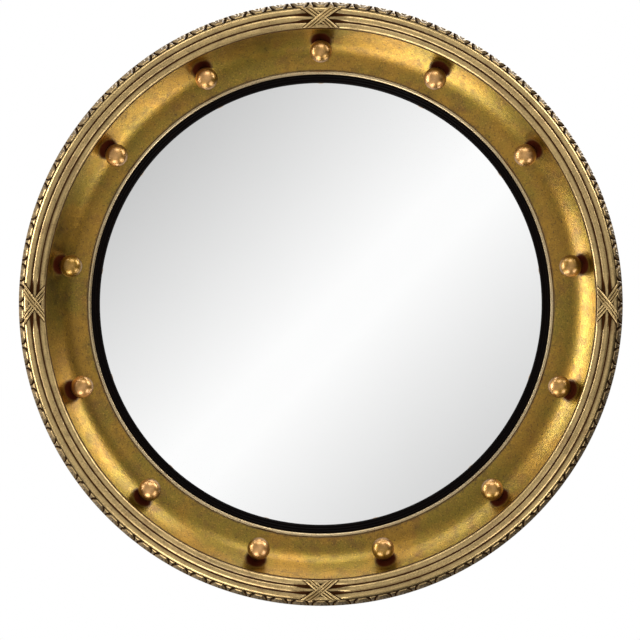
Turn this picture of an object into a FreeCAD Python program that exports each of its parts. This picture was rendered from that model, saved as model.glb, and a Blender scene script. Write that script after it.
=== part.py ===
"""Convex butlers mirror: a round gilt frame round a domed mirror plate.

Millimetres. +Z is up, the mirror looks along -Y, and the wall lies on the plane y = 0.
The origin is the centre of the ring on that plane. Sections are drawn at a distance out from
the axis and a depth in front of the wall, and turned about the Y axis. Places round the ring
are angles from the top, clockwise as seen from the front.
"""
import FreeCAD, Part
import math
import os
import re

import Sketcher
from FreeCAD import Placement, Rotation, Vector

# alias, value (mm, degrees or a count), what it is
DIMENSIONS = (
    ("carcass_radius", 232.0, "outside of the pine carcass"),
    ("carcass_depth", 22.0, "wall to the face the gilt rings are glued on"),
    ("carcass_bevel", 2.0, "bevel round the back edge"),
    ("recess_radius", 216.0, "inside of the band that lies on the wall"),
    ("recess_depth", 8.0, "hollow behind the backboard"),
    ("board_rebate_radius", 196.5, "rebate the backboard drops into"),
    ("plate_bore_radius", 190.0, "carcass bore round the mirror plate"),
    ("board_radius", 196.0, "backboard"),
    ("board_thickness", 4.0, "backboard"),
    ("sight_radius", 175.8, "edge of the visible mirror"),
    ("slip_radius", 182.5, "outside of the visible slip"),
    ("slip_flange_radius", 188.2, "outside of the slip's hidden flange"),
    ("slip_flange_top", 24.8, "depth of the flange's face"),
    ("slip_reed_depth", 26.0, "depth of the grooves between the slip's reeds"),
    ("slip_reed_radius", 1.4, "section of the slip's reeds"),
    ("plate_radius", 184.0, "mirror plate"),
    ("plate_thickness", 3.0, "mirror plate"),
    ("plate_curve_radius", 600.0, "sphere of the plate's front"),
    ("plate_gap", 0.3, "plate's front to the slip's inner edge"),
    ("retaining_inner_radius", 178.0, "wooden ring behind the plate"),
    ("retaining_outer_radius", 189.4, "wooden ring behind the plate"),
    ("retaining_top", 14.4, "depth of the ring's face"),
    ("packing_gap", 0.1, "felt to the plate's back"),
    ("block_width", 10.0, "cork blocks round the plate's edge"),
    ("block_start_radius", 184.6, "inner face of the blocks"),
    ("block_reach", 5.1, "size of the blocks along the radius"),
    ("block_bottom", 15.0, "depth where the blocks begin"),
    ("block_height", 5.5, "size of the blocks along the depth"),
    ("block_count", 8, "cork blocks"),
    ("lip_radius", 182.8, "inner edge of the gilt lip over the slip"),
    ("lip_back", 25.0, "depth of the lip's back"),
    ("slip_rebate_radius", 188.4, "rebate that holds the slip's flange"),
    ("bead_depth", 28.0, "depth of the thin bead's foot"),
    ("bead_radius", 1.62, "section of the thin bead"),
    ("cavetto_radius", 36.0, "section of the hollow"),
    ("cavetto_centre_radius", 184.1, "centre of that section from the axis"),
    ("cavetto_centre_depth", 64.0, "centre of that section from the wall"),
    ("cavetto_start", 3.0, "angle of the section where the hollow begins"),
    ("cavetto_end", 73.0, "angle of the section where the hollow ends"),
    ("cavetto_outer_radius", 218.6, "glued side of the hollow's ring"),
    ("ball_radius", 9.0, "gilt balls"),
    ("ball_neck_radius", 4.0, "neck under each ball"),
    ("ball_neck_length", 1.2, "ball to the hollow"),
    ("ball_seat_gap", 0.3, "neck's end to the hollow at its middle"),
    ("ball_seat_angle", 40.0, "angle of the section where the balls sit"),
    ("ball_count", 13, "balls"),
    ("ball_crowding", 1.7, "how far the side balls are set towards the top"),
    ("dowel_radius", 2.0, "dowels that peg the balls"),
    ("dowel_clearance", 0.05, "round the dowels and screws"),
    ("dowel_in_ball", 5.0, "dowel inside the ball and neck"),
    ("dowel_in_wood", 8.0, "dowel below the hollow's surface"),
    ("rim_centre_radius", 227.2, "middle of the reeded rim from the axis"),
    ("rim_centre_depth", 38.05, "centre of the rim's arched section"),
    ("rim_groove_radius", 17.2, "grooves from that centre"),
    ("rim_inner_groove", 29.1, "angle of the first and last groove"),
    ("rim_middle_groove", 9.7, "angle of the two middle grooves"),
    ("rim_reed_radius", 3.1, "section of each reed"),
    ("rim_side_radius", 237.4, "rim's side under the leaf edge"),
    ("rim_side_depth", 39.0, "depth where that side ends"),
    ("rim_cove_radius", 5.4, "cove under the rim"),
    ("rim_cove_top", 36.5, "depth of the cove's upper edge"),
    ("leaf_gap", 0.2, "glue line behind the leaf edge"),
    ("leaf_foot_depth", 37.2, "depth of the leaf edge's foot"),
    ("leaf_foot_radius", 239.2, "leaf edge's foot"),
    ("leaf_wide_radius", 240.0, "widest place of the whole mirror"),
    ("leaf_wide_depth", 38.4, "depth of that place"),
    ("leaf_top_radius", 236.6, "leaf edge's upper edge"),
    ("leaf_top_depth", 53.2, "depth of that edge"),
    ("leaf_bulge_radius", 24.7, "section of the leaf edge"),
    ("tie_inner_reach", 19.05, "underside of the ribbons from the rim's centre"),
    ("tie_outer_reach", 20.5, "face of the ribbons from the rim's centre"),
    ("tie_inner_angle", 26.0, "ribbons' end towards the hollow"),
    ("tie_outer_angle", 30.0, "ribbons' end towards the leaf edge"),
    ("tie_spread", 8.0, "angle of the ring under each tie"),
    ("tie_strap_width", 8.0, "each of the two crossed straps"),
    ("tie_strap_length", 44.0, "blank of each strap"),
    ("tie_strap_depth", 30.0, "blank of each strap"),
    ("button_count", 6, "turn buttons"),
    ("button_first_angle", 30.0, "angle of the first turn button"),
    ("button_pivot_radius", 203.0, "turn buttons' screws from the axis"),
    ("button_end_radius", 4.5, "rounded ends of a turn button"),
    ("button_reach", 8.5, "screw to the middle of the far end"),
    ("button_thickness", 1.6, "turn button"),
    ("button_lift", 0.2, "turn button to the backboard"),
    ("button_play", 0.1, "screw head to the turn button"),
    ("button_screw_radius", 1.6, "shank"),
    ("button_screw_length", 12.0, "below the head"),
    ("screw_head_radius", 3.2, "both kinds of screw"),
    ("screw_head_edge", 0.7, "straight side of the head"),
    ("screw_head_height", 1.6, "head with its dome"),
    ("screw_tip_length", 2.0, "pointed end"),
    ("screw_slot_width", 0.8, "slot in the head"),
    ("screw_slot_depth", 0.9, "slot in the head"),
    ("pilot_extra", 1.0, "pilot hole beyond the screw's tip"),
    ("hanger_offset", 179.0, "hangers from the middle, left and right"),
    ("hanger_hinge_height", 93.0, "height of the D-rings' hinge"),
    ("strap_width", 12.0, "hanger strap"),
    ("strap_length", 17.0, "hinge to the strap's upper end"),
    ("strap_thickness", 1.0, "hanger strap"),
    ("strap_hole_height", 7.5, "hinge to the strap's screw"),
    ("strap_hole_radius", 1.8, "hole in the strap"),
    ("hanger_screw_radius", 1.7, "shank"),
    ("hanger_screw_length", 12.0, "below the head"),
    ("ring_wire_radius", 1.25, "wire of the D-ring"),
    ("ring_clearance", 0.05, "D-ring in the strap's eye"),
    ("ring_half_width", 8.75, "middle of the wire, half across"),
    ("ring_corner_radius", 2.0, "middle of the wire at the bar's ends"),
    ("ring_side_drop", 5.0, "bar to the start of the round end"),
)

GROOVE = "rim_groove_radius"


# ---------- drawing helpers ----------

def bound(formula):
    """The formula with each sheet word (they all hold an underscore) pointing at the sheet."""
    return re.sub(r"[a-z]+(?:_[a-z]+)+", r"dims.\g<0>", formula)


def value(formula):
    """The number that a formula of sheet words gives."""
    return float(sheet.evalExpression(bound(formula)))


def constrain(sketch, constraint, formula):
    index = sketch.addConstraint(constraint)
    sketch.setExpression(f"Constraints[{index}]", bound(formula))


def pin(sketch, geometry, point, across, up):
    """Hold a point of a sketch at a place given by two formulas."""
    for kind, formula, axis in (("DistanceX", across, -2), ("DistanceY", up, -1)):
        size = value(formula)
        if abs(size) < 1e-9:
            sketch.addConstraint(Sketcher.Constraint("PointOnObject", geometry, point, axis))
        elif size > 0:
            rule = Sketcher.Constraint(kind, -1, 1, geometry, point, size)
            constrain(sketch, rule, formula)
        else:
            rule = Sketcher.Constraint(kind, geometry, point, -1, 1, -size)
            constrain(sketch, rule, f"-({formula})")


def arc_between(start, end, radius, turn):
    """The short arc from start to end that turns left (+1) or right (-1)."""
    chord = end - start
    left = Vector(-chord.y, chord.x, 0).normalize()
    rise = math.sqrt(max(radius**2 - (chord.Length / 2) ** 2, 0.0))
    centre = (start + end) * 0.5 + left * rise * turn
    first, last = (start, end) if turn > 0 else (end, start)
    begin = math.atan2(first.y - centre.y, first.x - centre.x)
    finish = math.atan2(last.y - centre.y, last.x - centre.x)
    if finish < begin:
        finish += 2 * math.pi
    return Part.ArcOfCircle(Part.Circle(centre, Vector(0, 0, 1), radius), begin, finish)


def draw_outline(sketch, corners):
    """A closed outline. A corner is (across, up) after a straight edge, or
    (across, up, radius, turn) after an arc that turns left (+1) or right (-1)."""
    spots = [Vector(value(corner[0]), value(corner[1]), 0) for corner in corners]
    edges = []
    for number, corner in enumerate(corners):
        start, end = spots[number - 1], spots[number]
        if len(corner) == 2:
            geometry = sketch.addGeometry(Part.LineSegment(start, end))
            edges.append((geometry, 1, 2))
            continue
        radius, turn = corner[2:]
        arc = arc_between(start, end, value(radius), turn)
        geometry = sketch.addGeometry(arc)
        edges.append((geometry, 1, 2) if turn > 0 else (geometry, 2, 1))
        constrain(sketch, Sketcher.Constraint("Radius", geometry, arc.Radius), radius)
    for number, corner in enumerate(corners):
        geometry, _, end = edges[number]
        following, start, _ = edges[(number + 1) % len(edges)]
        sketch.addConstraint(Sketcher.Constraint("Coincident", geometry, end, following, start))
        pin(sketch, geometry, end, corner[0], corner[1])


def draw_circle(sketch, across, up, radius):
    centre = Vector(value(across), value(up), 0)
    circle = Part.Circle(centre, Vector(0, 0, 1), value(radius))
    geometry = sketch.addGeometry(circle)
    constrain(sketch, Sketcher.Constraint("Radius", geometry, circle.Radius), radius)
    pin(sketch, geometry, 3, across, up)


def new_body(label):
    body = doc.addObject("PartDesign::Body", label)
    body.Label = label
    return body


def new_sketch(body, plane_role):
    sketch = body.newObject("Sketcher::SketchObject", f"{body.Name}_sketch")
    plane = next(item for item in body.Origin.OriginFeatures if item.Role == plane_role)
    sketch.AttachmentSupport = (plane, [""])
    sketch.MapMode = "FlatFace"
    return sketch


def turned(label, corners):
    """A body turned about the Y axis. Corners are (distance from the axis, place along Y)."""
    body = new_body(label)
    sketch = new_sketch(body, "XY_Plane")
    draw_outline(sketch, corners)
    turning = body.newObject("PartDesign::Revolution", f"{body.Name}_turning")
    turning.Profile = sketch
    turning.ReferenceAxis = (sketch, ["V_Axis"])
    turning.Angle = 360
    body.Tip = turning
    return body


def in_front(corners):
    """The same corners with a depth in front of the wall turned into a place along Y."""
    return [(corner[0], f"-({corner[1]})", *corner[2:]) for corner in corners]


def padded(body, sketch, length_formula):
    pad = body.newObject("PartDesign::Pad", f"{body.Name}_pad")
    pad.Profile = sketch
    pad.setExpression("Length", bound(length_formula))
    body.Tip = pad
    return pad


def around(angle):
    """The turn about Y that takes the top of the ring to an angle from the top."""
    return Rotation(Vector(0, 1, 0), angle)


def on_ring(angle, radius, depth):
    return around(angle).multVec(Vector(0, -depth, radius))


def cylinder(name, radius_formula, height_formula):
    item = doc.addObject("Part::Cylinder", name)
    item.setExpression("Radius", bound(radius_formula))
    item.setExpression("Height", bound(height_formula))
    return item


def box(name, length_formula, width_formula, height_formula):
    item = doc.addObject("Part::Box", name)
    item.setExpression("Length", bound(length_formula))
    item.setExpression("Width", bound(width_formula))
    item.setExpression("Height", bound(height_formula))
    return item


def group(label, items):
    compound = doc.addObject("Part::Compound", label)
    compound.Label = label
    compound.Links = items
    return compound


def cut(label, base, tool):
    result = doc.addObject("Part::Cut", label)
    result.Label = label
    result.Base = base
    result.Tool = tool
    return result


# ---------- the carcass and what closes its back ----------

def drill(body, circles, depth_formula):
    """A pocket of round holes into the wood from the wall side."""
    doc.recompute()
    before = body.Shape.Volume
    sketch = new_sketch(body, "XZ_Plane")
    for across, up, radius in circles:
        draw_circle(sketch, across, up, radius)
    pocket = body.newObject("PartDesign::Pocket", f"{body.Name}_pocket")
    pocket.Profile = sketch
    pocket.setExpression("Length", bound(depth_formula))
    pocket.Reversed = True
    body.Tip = pocket
    doc.recompute()
    if body.Shape.Volume > before - 1:
        raise RuntimeError(f"the holes in {body.Label} cut nothing")
    return sketch, pocket


def make_carcass():
    body = turned(
        "carcass_ring",
        in_front([
            ("plate_bore_radius", "carcass_depth"),
            ("plate_bore_radius", "recess_depth + board_thickness"),
            ("board_rebate_radius", "recess_depth + board_thickness"),
            ("board_rebate_radius", "recess_depth"),
            ("carcass_radius", "recess_depth"),
            ("carcass_radius", "carcass_depth"),
        ]),
    )
    button_hole = (
        "button_pivot_radius * sin(button_first_angle)",
        "button_pivot_radius * cos(button_first_angle)",
        "button_screw_radius + dowel_clearance",
    )
    button_depth = (
        "recess_depth - button_lift - button_thickness - button_play"
        " + button_screw_length + pilot_extra"
    )
    sketch, pocket = drill(body, [button_hole], button_depth)
    pattern = body.newObject("PartDesign::PolarPattern", "button_holes")
    pattern.Originals = [pocket]
    pattern.Axis = (sketch, ["N_Axis"])
    pattern.Angle = 360
    pattern.setExpression("Occurrences", bound("button_count"))
    body.Tip = pattern
    hanger_holes = [
        (f"{side}hanger_offset", "hanger_hinge_height + strap_hole_height",
         "hanger_screw_radius + dowel_clearance")
        for side in ("", "-")
    ]
    drill(body, hanger_holes, "recess_depth - strap_thickness + hanger_screw_length + pilot_extra")
    return body


def make_back_ring():
    """The second layer of the carcass, which lies on the wall round the recess."""
    return turned(
        "back_ring",
        in_front([
            ("recess_radius", "recess_depth"),
            ("recess_radius", "0"),
            ("carcass_radius - carcass_bevel", "0"),
            ("carcass_radius", "carcass_bevel"),
            ("carcass_radius", "recess_depth"),
        ]),
    )


def make_backboard():
    return turned(
        "backboard",
        in_front([
            ("0", "recess_depth"),
            ("board_radius", "recess_depth"),
            ("board_radius", "recess_depth + board_thickness"),
            ("0", "recess_depth + board_thickness"),
        ]),
    )


# ---------- the mirror plate and what holds it ----------

def dome(curve_formula, radius_formula):
    """How far a sphere falls away from its top at a distance from the axis."""
    return f"({curve_formula} - sqrt(({curve_formula})^2 - ({radius_formula})^2))"


FRONT_CURVE = "plate_curve_radius"
BACK_CURVE = "(plate_curve_radius - plate_thickness)"
PLATE_TOP = f"(carcass_depth - plate_gap + {dome(FRONT_CURVE, 'sight_radius')})"


def plate_back(radius_formula):
    """Depth of the plate's back face at a distance from the axis."""
    return f"({PLATE_TOP} - plate_thickness - {dome(BACK_CURVE, radius_formula)})"


def make_plate():
    return turned(
        "mirror_plate",
        in_front([
            ("0", f"{PLATE_TOP} - plate_thickness"),
            ("plate_radius", plate_back("plate_radius"), BACK_CURVE, +1),
            ("plate_radius", f"{PLATE_TOP} - {dome(FRONT_CURVE, 'plate_radius')}"),
            ("0", PLATE_TOP, FRONT_CURVE, -1),
        ]),
    )


def make_slip():
    """The ebonised slip: a flange under the gilt lip, and three fine reeds that show."""
    pitch = "(slip_radius - sight_radius) / 3"
    return turned(
        "slip_ring",
        in_front([
            ("sight_radius", "carcass_depth"),
            ("slip_flange_radius", "carcass_depth"),
            ("slip_flange_radius", "slip_flange_top"),
            ("slip_radius", "slip_flange_top"),
            ("slip_radius", "slip_reed_depth"),
            (f"sight_radius + 2 * {pitch}", "slip_reed_depth", "slip_reed_radius", -1),
            (f"sight_radius + {pitch}", "slip_reed_depth", "slip_reed_radius", -1),
            ("sight_radius", "slip_reed_depth", "slip_reed_radius", -1),
        ]),
    )


def make_retaining_ring():
    return turned(
        "retaining_ring",
        in_front([
            ("retaining_inner_radius", "recess_depth + board_thickness"),
            ("retaining_outer_radius", "recess_depth + board_thickness"),
            ("retaining_outer_radius", "retaining_top"),
            ("retaining_inner_radius", "retaining_top"),
        ]),
    )


def make_packing():
    """Felt between the wooden ring and the plate, bevelled to the plate's back."""
    return turned(
        "packing_ring",
        in_front([
            ("retaining_inner_radius", "retaining_top"),
            ("plate_radius", "retaining_top"),
            ("plate_radius", f"{plate_back('plate_radius')} - packing_gap"),
            ("retaining_inner_radius", f"{plate_back('retaining_inner_radius')} - packing_gap"),
        ]),
    )


def make_cork_blocks():
    count = int(value("block_count"))
    blocks = []
    for number in range(count):
        block = box(f"cork_block_{number + 1}", "block_width", "block_height", "block_reach")
        angle = 360 * (number + 0.5) / count
        corner = Vector(
            -value("block_width") / 2,
            -value("block_bottom") - value("block_height"),
            value("block_start_radius"),
        )
        block.Placement = Placement(around(angle).multVec(corner), around(angle))
        blocks.append(block)
    return group("cork_blocks", blocks)


# ---------- the gilt hollow and its balls ----------

def on_hollow(angle_formula, reach_formula):
    """The corner at an angle of the hollow's section and a distance from its centre."""
    return (
        f"cavetto_centre_radius + ({reach_formula}) * sin({angle_formula})",
        f"cavetto_centre_depth - ({reach_formula}) * cos({angle_formula})",
    )


def ball_angles():
    """Even steps from the top, drawn a little closer together towards the top."""
    count = int(value("ball_count"))
    steps = [360 * number / count for number in range(count)]
    crowding = value("ball_crowding")
    return [step - crowding * math.sin(math.radians(step)) for step in steps]


def peg_place(angle, below_surface):
    """Place on a ball's peg line, at a depth below the hollow's surface, with +Y out of the wood."""
    radius, depth = on_hollow("ball_seat_angle", f"cavetto_radius + {below_surface}")
    tilt = Rotation(Vector(1, 0, 0), 180 + value("ball_seat_angle"))
    return Placement(on_ring(angle, value(radius), value(depth)), around(angle).multiply(tilt))


def peg(name, angle, radius_formula, below_surface, length_formula):
    """A cylinder on a ball's peg line that starts below the surface and runs out of the wood."""
    item = cylinder(name, radius_formula, length_formula)
    upright = Placement(Vector(0, 0, 0), Rotation(Vector(1, 0, 0), -90))
    item.Placement = peg_place(angle, value(below_surface)).multiply(upright)
    return item


def make_hollow():
    start = on_hollow("cavetto_start", "cavetto_radius")
    end = on_hollow("cavetto_end", "cavetto_radius")
    ring = turned(
        "cavetto_turning",
        in_front([
            ("slip_rebate_radius", "carcass_depth"),
            ("cavetto_outer_radius", "carcass_depth"),
            ("cavetto_outer_radius", end[1]),
            end,
            (*start, "cavetto_radius", +1),
            ("lip_radius", "bead_depth", "bead_radius", -1),
            ("lip_radius", "lip_back"),
            ("slip_rebate_radius", "lip_back"),
        ]),
    )
    drills = [
        peg(f"dowel_drill_{number}", angle, "dowel_radius + dowel_clearance",
            "dowel_in_wood + pilot_extra", "dowel_in_wood + pilot_extra + ball_radius")
        for number, angle in enumerate(ball_angles(), start=1)
    ]
    return cut("cavetto_ring", ring, group("dowel_drills", drills))


def make_ball(number, angle):
    """A turned ball on a short neck, bored for its dowel. Its own +Y points out of the wood."""
    foot = "-(ball_radius + ball_neck_length - ball_seat_gap)"
    bore_end = f"{foot} + dowel_in_ball"
    body = turned(
        f"ball_{number:02d}",
        [
            ("0", "ball_radius"),
            ("ball_neck_radius", "-sqrt(ball_radius^2 - ball_neck_radius^2)", "ball_radius", -1),
            ("ball_neck_radius", foot),
            ("dowel_radius + dowel_clearance", foot),
            ("dowel_radius + dowel_clearance", bore_end),
            ("0", bore_end),
        ],
    )
    body.Placement = peg_place(angle, -value("ball_radius + ball_neck_length"))
    return body


def make_dowels():
    length = "dowel_in_wood + ball_seat_gap + dowel_in_ball - dowel_clearance"
    dowels = [
        peg(f"dowel_{number}", angle, "dowel_radius", "dowel_in_wood", length)
        for number, angle in enumerate(ball_angles(), start=1)
    ]
    return group("ball_dowels", dowels)


# ---------- the reeded rim, its leaf edge and its ribbons ----------

def on_rim(angle_formula, reach_formula):
    """The corner at an angle of the rim's arched section and a distance from its centre."""
    return (
        f"rim_centre_radius + ({reach_formula}) * sin({angle_formula})",
        f"rim_centre_depth + ({reach_formula}) * cos({angle_formula})",
    )


def make_rim():
    first = on_rim("-rim_inner_groove", GROOVE)
    last = on_rim("rim_inner_groove", GROOVE)
    return turned(
        "reeded_rim",
        in_front([
            (first[0], "carcass_depth"),
            first,
            (*on_rim("-rim_middle_groove", GROOVE), "rim_reed_radius", +1),
            (*on_rim("rim_middle_groove", GROOVE), "rim_reed_radius", +1),
            (*last, "rim_reed_radius", +1),
            ("rim_side_radius", "rim_side_depth"),
            ("rim_side_radius", "rim_cove_top"),
            ("rim_side_radius - rim_cove_radius", "rim_cove_top - rim_cove_radius",
             "rim_cove_radius", -1),
            ("rim_side_radius - rim_cove_radius", "carcass_depth"),
        ]),
    )


def make_leaf_edge():
    rim_edge = on_rim("rim_inner_groove", GROOVE)
    return turned(
        "leaf_edge_band",
        in_front([
            (f"{rim_edge[0]} + leaf_gap", rim_edge[1]),
            ("rim_side_radius + leaf_gap", "rim_side_depth"),
            ("rim_side_radius + leaf_gap", "leaf_foot_depth"),
            ("leaf_foot_radius", "leaf_foot_depth"),
            ("leaf_wide_radius", "leaf_wide_depth"),
            ("leaf_top_radius", "leaf_top_depth", "leaf_bulge_radius", -1),
        ]),
    )


def tie_blank(name):
    """A piece of a shell over the reeds, centred on the +X side of the ring."""
    body = new_body(name)
    sketch = new_sketch(body, "XY_Plane")
    draw_outline(sketch, in_front([
        on_rim("-tie_inner_angle", "tie_inner_reach"),
        (*on_rim("tie_outer_angle", "tie_inner_reach"), "tie_inner_reach", +1),
        on_rim("tie_outer_angle", "tie_outer_reach"),
        (*on_rim("-tie_inner_angle", "tie_outer_reach"), "tie_outer_reach", -1),
    ]))
    turning = body.newObject("PartDesign::Revolution", f"{name}_turning")
    turning.Profile = sketch
    turning.ReferenceAxis = (sketch, ["V_Axis"])
    turning.setExpression("Angle", bound("tie_spread"))
    turning.Midplane = True
    body.Tip = turning
    return body


def make_tie(place, angle):
    """Two straps crossed over the reeds, cut out of the shell by an upright X."""
    straps = []
    for lean in (45, -45):
        strap = box(
            f"strap_{place}", "tie_strap_length", "tie_strap_depth", "tie_strap_width"
        )
        middle = Vector(
            value("tie_strap_length") / 2,
            value("tie_strap_depth") / 2,
            value("tie_strap_width") / 2,
        )
        turn = Rotation(Vector(0, 1, 0), lean)
        centre = Vector(value("rim_centre_radius"), -value("rim_centre_depth + tie_outer_reach"), 0)
        strap.Placement = Placement(centre - turn.multVec(middle), turn)
        straps.append(strap)
    cross = doc.addObject("Part::Fuse", f"cross_{place}")
    cross.Base, cross.Tool = straps
    tie = doc.addObject("Part::Common", f"ribbon_tie_{place}")
    tie.Label = f"ribbon_tie_{place}"
    tie.Base = tie_blank(f"tie_blank_{place}")
    tie.Tool = cross
    tie.Placement = Placement(Vector(0, 0, 0), around(angle - 90))
    return tie


# ---------- turn buttons, hangers and screws ----------

def make_screw(name, radius_formula, length_formula):
    """A pan head screw with its shank along -Y from the underside of its head."""
    shaft = turned(
        f"{name}_shaft",
        [
            ("0", f"-({length_formula})"),
            (radius_formula, f"-({length_formula}) + screw_tip_length"),
            (radius_formula, "0"),
            ("screw_head_radius", "0"),
            ("screw_head_radius", "screw_head_edge"),
            ("0", "screw_head_height",
             "(screw_head_radius^2 + (screw_head_height - screw_head_edge)^2)"
             " / (2 * (screw_head_height - screw_head_edge))", +1),
        ],
    )
    slot = box(f"{name}_slot", "screw_slot_width", "screw_slot_depth", "2 * screw_head_radius + 1")
    slot.Placement.Base = Vector(
        -value("screw_slot_width") / 2,
        value("screw_head_height - screw_slot_depth"),
        -value("screw_head_radius") - 0.5,
    )
    return cut(name, shaft, slot)


def button_angles():
    count = int(value("button_count"))
    return [value("button_first_angle") + 360 * number / count for number in range(count)]


def make_button(number, angle):
    """A flat turn button. It is stored pointing inwards, over the backboard's edge."""
    body = new_body(f"turn_button_{number}")
    sketch = new_sketch(body, "XZ_Plane")
    draw_outline(sketch, [
        ("button_end_radius", "0"),
        ("0", "button_end_radius", "button_end_radius", +1),
        ("-button_end_radius", "0", "button_end_radius", +1),
        ("-button_end_radius", "-button_reach"),
        ("0", "-(button_reach + button_end_radius)", "button_end_radius", +1),
        ("button_end_radius", "-button_reach", "button_end_radius", +1),
    ])
    draw_circle(sketch, "0", "0", "button_screw_radius + dowel_clearance")
    padded(body, sketch, "button_thickness")
    depth = value("recess_depth - button_lift - button_thickness")
    place = on_ring(angle, value("button_pivot_radius"), depth)
    body.Placement = Placement(place, around(angle))
    return body


def make_button_screws():
    depth = value("recess_depth - button_lift - button_thickness - button_play")
    screws = []
    for number, angle in enumerate(button_angles(), start=1):
        screw = make_screw(f"button_screw_{number}", "button_screw_radius", "button_screw_length")
        place = on_ring(angle, value("button_pivot_radius"), depth)
        screw.Placement = Placement(place, around(angle + 15 * number))
        screws.append(screw)
    return group("turn_button_screws", screws)


def hinge_place(side):
    """The middle of a D-ring's hinge. The strap's eye rests against the wood."""
    eye = value("ring_wire_radius + ring_clearance + strap_thickness")
    depth = value("recess_depth") - eye
    return Vector(side * value("hanger_offset"), -depth, value("hanger_hinge_height"))


def make_strap(name, side):
    """A strap folded round the D-ring's bar into an eye. Its own origin is on the hinge."""
    eye = "(ring_wire_radius + ring_clearance + strap_thickness)"
    inside = "(ring_wire_radius + ring_clearance)"
    body = new_body(f"hanger_strap_{name}")
    sketch = new_sketch(body, "YZ_Plane")
    meeting = f"sqrt({eye}^2 - {inside}^2)"
    draw_outline(sketch, [
        (f"-{eye}", "strap_length"),
        (f"-{eye}", "0"),
        ("0", f"-{eye}", eye, +1),
        (eye, "0", eye, +1),
        ("0", eye, eye, +1),
        (f"-{inside}", meeting, eye, +1),
        (f"-{inside}", "strap_length"),
    ])
    draw_circle(sketch, "0", "0", inside)
    padded(body, sketch, "strap_width").Midplane = True
    doc.recompute()
    before = body.Shape.Volume
    hole = new_sketch(body, "XZ_Plane")
    draw_circle(hole, "0", "strap_hole_height", "strap_hole_radius")
    pocket = body.newObject("PartDesign::Pocket", f"{body.Name}_hole")
    pocket.Profile = hole
    pocket.Type = 1
    pocket.Midplane = True
    body.Tip = pocket
    doc.recompute()
    if body.Shape.Volume > before - 1:
        raise RuntimeError("the screw hole cut nothing")
    body.Placement.Base = hinge_place(side)
    return body


def make_d_ring(name, side):
    """A D of round wire that hangs from its straight bar. Its own origin is on the hinge."""
    body = new_body(f"d_ring_{name}")
    path = new_sketch(body, "XZ_Plane")
    bar_end = "(ring_half_width - ring_corner_radius)"
    draw_outline(path, [
        ("0", "0"),
        (f"-{bar_end}", "0"),
        ("-ring_half_width", "-ring_corner_radius", "ring_corner_radius", +1),
        ("-ring_half_width", "-ring_side_drop"),
        ("0", "-(ring_side_drop + ring_half_width)", "ring_half_width", +1),
        ("ring_half_width", "-ring_side_drop", "ring_half_width", +1),
        ("ring_half_width", "-ring_corner_radius"),
        (bar_end, "0", "ring_corner_radius", +1),
    ])
    wire = new_sketch(body, "YZ_Plane")
    draw_circle(wire, "0", "0", "ring_wire_radius")
    sweep = body.newObject("PartDesign::AdditivePipe", f"{body.Name}_sweep")
    sweep.Profile = wire
    sweep.Spine = path
    body.Tip = sweep
    body.Placement.Base = hinge_place(side)
    return body


def make_hanger_screws():
    depth = value("recess_depth - strap_thickness")
    height = value("hanger_hinge_height + strap_hole_height")
    screws = []
    for number, side in enumerate((-1, 1), start=1):
        screw = make_screw(f"hanger_screw_{number}", "hanger_screw_radius", "hanger_screw_length")
        place = Vector(side * value("hanger_offset"), -depth, height)
        screw.Placement = Placement(place, around(25 * side))
        screws.append(screw)
    return group("hanger_screws", screws)


# ---------- the whole mirror ----------

def make_sheet():
    cells = doc.addObject("Spreadsheet::Sheet", "dims")
    for row, (alias, size, note) in enumerate(DIMENSIONS, start=1):
        cells.set(f"A{row}", note)
        cells.set(f"B{row}", str(size))
        cells.setAlias(f"B{row}", alias)
    doc.recompute()
    return cells


def make_pieces():
    pieces = [
        make_carcass(),
        make_back_ring(),
        make_backboard(),
        make_plate(),
        make_slip(),
        make_retaining_ring(),
        make_packing(),
        make_cork_blocks(),
        make_hollow(),
        make_dowels(),
        make_rim(),
        make_leaf_edge(),
        make_button_screws(),
        make_hanger_screws(),
    ]
    for number, angle in enumerate(ball_angles(), start=1):
        pieces.append(make_ball(number, angle))
    for place, angle in (("top", 0), ("right", 90), ("bottom", 180), ("left", 270)):
        pieces.append(make_tie(place, angle))
    for number, angle in enumerate(button_angles(), start=1):
        pieces.append(make_button(number, angle))
    for name, side in (("left", -1), ("right", 1)):
        pieces.append(make_strap(name, side))
        pieces.append(make_d_ring(name, side))
    return pieces


def check(pieces):
    for item in doc.Objects:
        if "Invalid" in item.State or "Error" in item.State:
            raise RuntimeError(f"{item.Label} failed: {item.State}")
    for piece in pieces:
        if piece.Shape.isNull() or not piece.Shape.isValid() or not piece.Shape.Solids:
            raise RuntimeError(f"{piece.Label} has no valid solid")


def write(pieces):
    os.makedirs("parts", exist_ok=True)
    for piece in pieces:
        piece.Shape.exportStep(f"parts/{piece.Label}.step")
        extent = piece.Shape.optimalBoundingBox()
        print(f"{piece.Label:22s} {len(piece.Shape.Solids):2d} solids {piece.Shape.Volume:12.1f} mm3"
              f"  x {extent.XMin:8.2f} {extent.XMax:8.2f}  y {extent.YMin:8.2f} {extent.YMax:8.2f}"
              f"  z {extent.ZMin:8.2f} {extent.ZMax:8.2f}")


doc = FreeCAD.newDocument("butlers_mirror")
sheet = make_sheet()
all_pieces = make_pieces()
doc.recompute()
check(all_pieces)
write(all_pieces)
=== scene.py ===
"""A round convex mirror in a gilt frame with balls, reeds, ribbons and a leaf edge.

Metres. +Z is up, the mirror looks along -Y, and the wall is the plane y = 0. Sections are drawn
as points (distance out from the axis, depth in front of the wall) in millimetres and turned
about the Y axis. Places round the ring are angles from the top, clockwise from the front.
"""

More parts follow.
